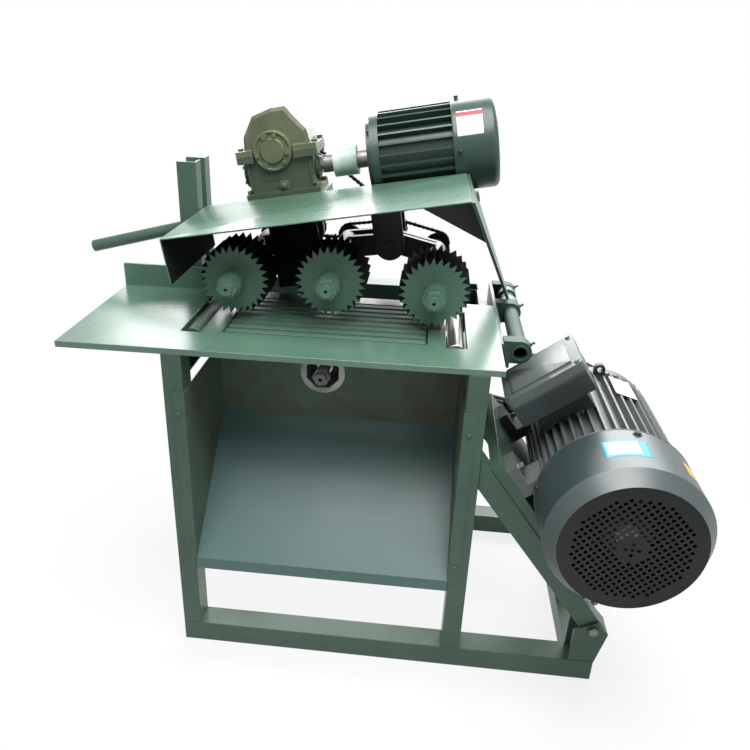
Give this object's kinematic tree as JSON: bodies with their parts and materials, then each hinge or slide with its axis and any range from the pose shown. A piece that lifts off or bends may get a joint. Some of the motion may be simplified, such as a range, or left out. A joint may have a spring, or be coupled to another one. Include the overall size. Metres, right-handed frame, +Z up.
{
  "type": "multi-rip saw",
  "caption": "Floor-standing multi-rip saw: grated table over a sawdust chute, toothed feed wheels under a hinged hood, geared feed motor, belt-driven arbor and slanted main motor.",
  "frame": {"origin": "on the floor under the front base rail, midway between the front legs", "axes": "+Z up, +X to the outfeed side and the main motor, +Y away from the operator"},
  "size_m": [1.4777, 0.886, 1.2795],
  "materials": {
    "frame_green": "semi-gloss green machine paint",
    "table_green": "semi-gloss green machine paint, worn bare in streaks",
    "hood_green": "glossy pale green machine paint",
    "wheel_green": "green machine paint over machined steel",
    "chute_grey": "satin grey-green paint on sheet",
    "chute_dark": "dull brown-green paint on sheet",
    "shield_grey": "pale grey paint",
    "reducer_olive": "olive paint on cast iron",
    "feed_motor_green": "dark green enamel on cast iron",
    "sleeve_pale": "pale paint on a turned sleeve",
    "motor_charcoal": "charcoal paint on cast iron",
    "cover_grey": "satin grey paint on pressed sheet",
    "grille_dark": "dark paint on pierced sheet",
    "lid_green": "grey-green paint on a cast lid",
    "bright_steel": "turned steel",
    "dark_steel": "oiled dark steel",
    "arm_dark": "dark green paint with grease",
    "belt_rubber": "black rubber",
    "bolt_zinc": "zinc-plated steel"
  },
  "bodies": {
    "frame": {"base_rails": "frame_green", "legs": "frame_green", "upper_rails": "frame_green", "table_plate": "table_green", "grate_bars": "table_green", "fence": "frame_green", "roller_blocks": "frame_green", "chute_side_panels": "frame_green", "chute_slope": "chute_grey", "chute_back_panel": "chute_dark", "chute_screws": "bolt_zinc", "arbor_shield": "shield_grey", "arbor_carrier": "frame_green", "arbor_housing": "frame_green", "v_belts": "belt_rubber", "motor_beams": "frame_green", "beam_fittings": "frame_green", "bearing_bracket": "frame_green", "pillow_blocks": "frame_green", "guide_posts": "frame_green"},
    "arbor": {"arbor_shaft": "bright_steel", "arbor_pulley": "dark_steel"},
    "infeed_roller": {"infeed_roller": "frame_green"},
    "outfeed_roller": {"outfeed_roller": "bright_steel"},
    "motor_carriage": {"motor_plate": "frame_green", "motor_housing": "motor_charcoal", "motor_end_shield": "motor_charcoal", "motor_fan_cover": "cover_grey", "fan_grille": "grille_dark", "terminal_box": "motor_charcoal", "terminal_lid": "lid_green", "motor_bolts": "bolt_zinc"},
    "motor_rotor": {"motor_shaft": "bright_steel", "motor_fan": "grille_dark", "motor_pulley": "dark_steel"},
    "feed_frame": {"hood": "hood_green", "swing_plate": "frame_green", "hinge_shaft": "bright_steel", "drive_bed": "frame_green", "lift_bar": "frame_green", "reducer_housing": "reducer_olive", "reducer_cover": "reducer_olive", "reducer_fittings": "reducer_olive", "feed_motor_housing": "feed_motor_green", "feed_fan_cover": "feed_motor_green", "drive_chain": "dark_steel"},
    "feed_rotor": {"feed_shaft": "bright_steel", "shaft_coupling": "sleeve_pale"},
    "reducer_output": {"output_shaft": "bright_steel"},
    "left_layshaft": {"left_layshaft": "dark_steel"},
    "right_layshaft": {"right_layshaft": "dark_steel"},
    "left_arm": {"left_arm": "arm_dark"},
    "middle_arm": {"middle_arm": "arm_dark"},
    "right_arm": {"right_arm": "arm_dark"},
    "left_wheel": {"left_feed_wheel": "wheel_green", "left_wheel_shaft": "wheel_green"},
    "middle_wheel": {"middle_feed_wheel": "wheel_green", "middle_wheel_shaft": "wheel_green"},
    "right_wheel": {"right_feed_wheel": "wheel_green", "right_wheel_shaft": "wheel_green"}
  },
  "joints": [
    {"name": "feed_frame_tilt", "type": "hinge", "parent": "frame", "child": "feed_frame", "pos_m": [0.42, 0.37, 0.772], "axis": [0, 1, 0], "range_deg": [0, 8]},
    {"name": "left_arm_swing", "type": "hinge", "parent": "feed_frame", "child": "left_arm", "pos_m": [-0.122, 0.52, 0.918], "axis": [0, 1, 0], "range_deg": [0, 12]},
    {"name": "middle_arm_swing", "type": "hinge", "parent": "feed_frame", "child": "middle_arm", "pos_m": [0.102, 0.52, 0.918], "axis": [0, 1, 0], "range_deg": [0, 12]},
    {"name": "right_arm_swing", "type": "hinge", "parent": "feed_frame", "child": "right_arm", "pos_m": [0.102, 0.52, 0.918], "axis": [0, -1, 0], "range_deg": [0, 12]},
    {"name": "left_wheel_spin", "type": "hinge", "parent": "left_arm", "child": "left_wheel", "pos_m": [-0.232, 0.235, 0.893], "axis": [0, -1, 0], "continuous": true},
    {"name": "middle_wheel_spin", "type": "hinge", "parent": "middle_arm", "child": "middle_wheel", "pos_m": [-0.012, 0.235, 0.902], "axis": [0, -1, 0], "continuous": true},
    {"name": "right_wheel_spin", "type": "hinge", "parent": "right_arm", "child": "right_wheel", "pos_m": [0.221, 0.235, 0.889], "axis": [0, -1, 0], "continuous": true},
    {"name": "left_layshaft_spin", "type": "hinge", "parent": "feed_frame", "child": "left_layshaft", "pos_m": [-0.122, 0.56, 0.918], "axis": [0, -1, 0], "continuous": true},
    {"name": "right_layshaft_spin", "type": "hinge", "parent": "feed_frame", "child": "right_layshaft", "pos_m": [0.102, 0.56, 0.918], "axis": [0, -1, 0], "continuous": true},
    {"name": "reducer_output_spin", "type": "hinge", "parent": "feed_frame", "child": "reducer_output", "pos_m": [-0.19451, 0.56, 1.14019], "axis": [0, -1, 0], "continuous": true},
    {"name": "feed_motor_spin", "type": "hinge", "parent": "feed_frame", "child": "feed_rotor", "pos_m": [0.12033, 0.515, 1.13766], "axis": [0.986, 0, 0.1668], "continuous": true},
    {"name": "motor_slide", "type": "slide", "parent": "frame", "child": "motor_carriage", "axis": [0.6046, 0, -0.7965], "range_m": [-0.02, 0], "deforming": ["v_belts"]},
    {"name": "main_motor_spin", "type": "hinge", "parent": "motor_carriage", "child": "motor_rotor", "pos_m": [0.63, 0.12, 0.524], "axis": [0, 1, 0], "continuous": true},
    {"name": "arbor_spin", "type": "hinge", "parent": "frame", "child": "arbor", "pos_m": [-0.04, 0.4, 0.636], "axis": [0, 1, 0], "continuous": true},
    {"name": "infeed_roller_spin", "type": "hinge", "parent": "frame", "child": "infeed_roller", "pos_m": [-0.3105, 0.195, 0.782], "axis": [0, 1, 0], "continuous": true},
    {"name": "outfeed_roller_spin", "type": "hinge", "parent": "frame", "child": "outfeed_roller", "pos_m": [0.276, 0.195, 0.782], "axis": [0, 1, 0], "continuous": true}
  ],
  "couplings": [
    {"joint": "left_wheel_spin", "follows": "feed_motor_spin", "ratio": 0.05},
    {"joint": "middle_wheel_spin", "follows": "feed_motor_spin", "ratio": 0.05},
    {"joint": "right_wheel_spin", "follows": "feed_motor_spin", "ratio": 0.05},
    {"joint": "left_layshaft_spin", "follows": "feed_motor_spin", "ratio": 0.05},
    {"joint": "right_layshaft_spin", "follows": "feed_motor_spin", "ratio": 0.05},
    {"joint": "reducer_output_spin", "follows": "feed_motor_spin", "ratio": 0.05},
    {"joint": "arbor_spin", "follows": "main_motor_spin", "ratio": 1.3431}
  ]
}
